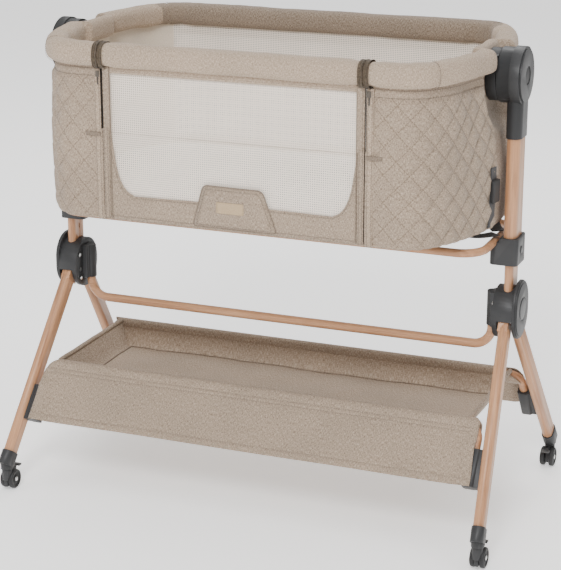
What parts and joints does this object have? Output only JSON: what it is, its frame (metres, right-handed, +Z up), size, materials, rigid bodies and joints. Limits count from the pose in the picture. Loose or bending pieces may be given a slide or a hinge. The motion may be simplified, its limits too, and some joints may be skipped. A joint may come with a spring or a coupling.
{
  "type": "bassinet on stand",
  "caption": "Bedside bassinet with a drop-down mesh side, hung between two telescoping posts on a folding wheeled stand with a fabric shelf.",
  "frame": {"origin": "on the floor under the middle of the stand", "axes": "+X along the bassinet's length, -Y towards the drop-down side, +Z up"},
  "size_m": [0.971, 0.5622, 0.886],
  "materials": {
    "moulded_plastic": "satin charcoal moulded plastic",
    "screw_steel": "zinc plated steel",
    "wood_tube": "beech wood print on steel tube, satin",
    "linen_fabric": "melange linen-look woven polyester",
    "rim_fabric": "melange linen-look woven polyester over foam",
    "window_mesh": "fine knitted spacer mesh",
    "mattress_cover": "soft knitted cover",
    "floor_panel": "thin fibreboard",
    "frame_steel": "black powder coat",
    "webbing": "black woven webbing",
    "buckle_plastic": "black acetal",
    "zip_metal": "antique brass zip slider",
    "caster_plastic": "satin charcoal nylon",
    "caster_wheel": "hard charcoal polyurethane",
    "brake_plastic": "grey nylon"
  },
  "bodies": {
    "stand_hubs": {"hub_housing_left": "moulded_plastic", "hub_housing_right": "moulded_plastic", "hub_covers": "moulded_plastic", "crossbar_sockets": "moulded_plastic", "hub_screws": "screw_steel", "lower_crossbar": "wood_tube", "inner_post_left": "wood_tube", "inner_post_right": "wood_tube", "leg_pivot_pins": "screw_steel", "shelf_tray": "linen_fabric"},
    "front_legs": {"front_leg_left": "wood_tube", "front_leg_right": "wood_tube", "front_leg_boots": "moulded_plastic", "front_hem_tube": "wood_tube", "front_brackets": "moulded_plastic", "front_bracket_screws": "screw_steel", "front_skirt": "linen_fabric"},
    "rear_legs": {"rear_leg_left": "wood_tube", "rear_leg_right": "wood_tube", "rear_leg_boots": "moulded_plastic", "rear_hem_tube": "wood_tube", "rear_brackets": "moulded_plastic", "rear_bracket_screws": "screw_steel", "rear_skirt": "linen_fabric"},
    "upper_frame": {"outer_post_left": "wood_tube", "outer_post_right": "wood_tube", "height_collars": "moulded_plastic", "post_heads": "moulded_plastic", "support_ring": "wood_tube"},
    "bassinet": {"pivot_discs": "moulded_plastic", "rim_pad": "rim_fabric", "rim_frame": "frame_steel", "bassinet_wall": "linen_fabric", "floor_board": "floor_panel", "mattress": "mattress_cover", "end_straps": "webbing", "strap_buckles": "buckle_plastic"},
    "drop_side": {"drop_rim": "rim_fabric", "drop_panel": "linen_fabric", "mesh_window": "window_mesh"},
    "fold_button_left": {"fold_button_left": "moulded_plastic"},
    "height_button_left": {"height_button_left": "moulded_plastic"},
    "head_button_left": {"head_button_left": "moulded_plastic"},
    "zip_slider_left": {"zip_slider_left": "zip_metal"},
    "fold_button_right": {"fold_button_right": "moulded_plastic"},
    "height_button_right": {"height_button_right": "moulded_plastic"},
    "head_button_right": {"head_button_right": "moulded_plastic"},
    "zip_slider_right": {"zip_slider_right": "zip_metal"},
    "castor_front_left": {"castor_fork_front_left": "caster_plastic"},
    "wheels_front_left": {"castor_wheels_front_left": "caster_wheel"},
    "brake_front_left": {"castor_brake_front_left": "brake_plastic"},
    "castor_front_right": {"castor_fork_front_right": "caster_plastic"},
    "wheels_front_right": {"castor_wheels_front_right": "caster_wheel"},
    "brake_front_right": {"castor_brake_front_right": "brake_plastic"},
    "castor_rear_left": {"castor_fork_rear_left": "caster_plastic"},
    "wheels_rear_left": {"castor_wheels_rear_left": "caster_wheel"},
    "brake_rear_left": {"castor_brake_rear_left": "brake_plastic"},
    "castor_rear_right": {"castor_fork_rear_right": "caster_plastic"},
    "wheels_rear_right": {"castor_wheels_rear_right": "caster_wheel"},
    "brake_rear_right": {"castor_brake_rear_right": "brake_plastic"}
  },
  "joints": [
    {"name": "front_leg_fold", "type": "hinge", "parent": "stand_hubs", "child": "front_legs", "pos_m": [0, -0.024, 0.385], "axis": [1, 0, 0], "range_deg": [0, 30], "deforming": ["shelf_tray"]},
    {"name": "rear_leg_fold", "type": "hinge", "parent": "stand_hubs", "child": "rear_legs", "pos_m": [0, 0.024, 0.385], "axis": [1, 0, 0], "range_deg": [-30, 0]},
    {"name": "height_slide", "type": "slide", "parent": "stand_hubs", "child": "upper_frame", "axis": [0, 0, 1], "range_m": [-0.03, 0.12]},
    {"name": "cradle_swing", "type": "hinge", "parent": "upper_frame", "child": "bassinet", "pos_m": [0, 0, 0.832], "axis": [1, 0, 0], "range_deg": [-8, 8]},
    {"name": "drop_side_hinge", "type": "hinge", "parent": "bassinet", "child": "drop_side", "pos_m": [0, -0.252, 0.566], "axis": [1, 0, 0], "range_deg": [0, 165]},
    {"name": "fold_button_left_press", "type": "slide", "parent": "stand_hubs", "child": "fold_button_left", "axis": [1, 0, 0], "range_m": [0, 0.003], "stiffness_N_per_m": 800},
    {"name": "height_button_left_press", "type": "slide", "parent": "upper_frame", "child": "height_button_left", "axis": [1, 0, 0], "range_m": [0, 0.003], "stiffness_N_per_m": 600},
    {"name": "head_button_left_press", "type": "slide", "parent": "upper_frame", "child": "head_button_left", "axis": [1, 0, 0], "range_m": [0, 0.003], "stiffness_N_per_m": 800},
    {"name": "zip_left_slide", "type": "slide", "parent": "bassinet", "child": "zip_slider_left", "axis": [0, 0, 1], "range_m": [-0.24, 0]},
    {"name": "fold_button_right_press", "type": "slide", "parent": "stand_hubs", "child": "fold_button_right", "axis": [-1, 0, 0], "range_m": [0, 0.003], "stiffness_N_per_m": 800},
    {"name": "height_button_right_press", "type": "slide", "parent": "upper_frame", "child": "height_button_right", "axis": [-1, 0, 0], "range_m": [0, 0.003], "stiffness_N_per_m": 600},
    {"name": "head_button_right_press", "type": "slide", "parent": "upper_frame", "child": "head_button_right", "axis": [-1, 0, 0], "range_m": [0, 0.003], "stiffness_N_per_m": 800},
    {"name": "zip_right_slide", "type": "slide", "parent": "bassinet", "child": "zip_slider_right", "axis": [0, 0, 1], "range_m": [-0.24, 0]},
    {"name": "castor_front_left_swivel", "type": "hinge", "parent": "front_legs", "child": "castor_front_left", "pos_m": [-0.472, -0.262, 0.04], "axis": [0, 0, 1], "continuous": true},
    {"name": "castor_front_left_roll", "type": "hinge", "parent": "castor_front_left", "child": "wheels_front_left", "pos_m": [-0.472, -0.25, 0.019], "axis": [1, 0, 0], "continuous": true},
    {"name": "castor_front_left_brake", "type": "hinge", "parent": "castor_front_left", "child": "brake_front_left", "pos_m": [-0.472, -0.237, 0.037], "axis": [1, 0, 0], "range_deg": [-14, 0]},
    {"name": "castor_front_right_swivel", "type": "hinge", "parent": "front_legs", "child": "castor_front_right", "pos_m": [0.472, -0.262, 0.04], "axis": [0, 0, 1], "continuous": true},
    {"name": "castor_front_right_roll", "type": "hinge", "parent": "castor_front_right", "child": "wheels_front_right", "pos_m": [0.472, -0.25, 0.019], "axis": [1, 0, 0], "continuous": true},
    {"name": "castor_front_right_brake", "type": "hinge", "parent": "castor_front_right", "child": "brake_front_right", "pos_m": [0.472, -0.237, 0.037], "axis": [1, 0, 0], "range_deg": [-14, 0]},
    {"name": "castor_rear_left_swivel", "type": "hinge", "parent": "rear_legs", "child": "castor_rear_left", "pos_m": [-0.472, 0.262, 0.04], "axis": [0, 0, 1], "continuous": true},
    {"name": "castor_rear_left_roll", "type": "hinge", "parent": "castor_rear_left", "child": "wheels_rear_left", "pos_m": [-0.472, 0.25, 0.019], "axis": [1, 0, 0], "continuous": true},
    {"name": "castor_rear_left_brake", "type": "hinge", "parent": "castor_rear_left", "child": "brake_rear_left", "pos_m": [-0.472, 0.237, 0.037], "axis": [-1, 0, 0], "range_deg": [-14, 0]},
    {"name": "castor_rear_right_swivel", "type": "hinge", "parent": "rear_legs", "child": "castor_rear_right", "pos_m": [0.472, 0.262, 0.04], "axis": [0, 0, 1], "continuous": true},
    {"name": "castor_rear_right_roll", "type": "hinge", "parent": "castor_rear_right", "child": "wheels_rear_right", "pos_m": [0.472, 0.25, 0.019], "axis": [1, 0, 0], "continuous": true},
    {"name": "castor_rear_right_brake", "type": "hinge", "parent": "castor_rear_right", "child": "brake_rear_right", "pos_m": [0.472, 0.237, 0.037], "axis": [-1, 0, 0], "range_deg": [-14, 0]}
  ],
  "couplings": [
    {"joint": "rear_leg_fold", "follows": "front_leg_fold", "ratio": -1}
  ]
}
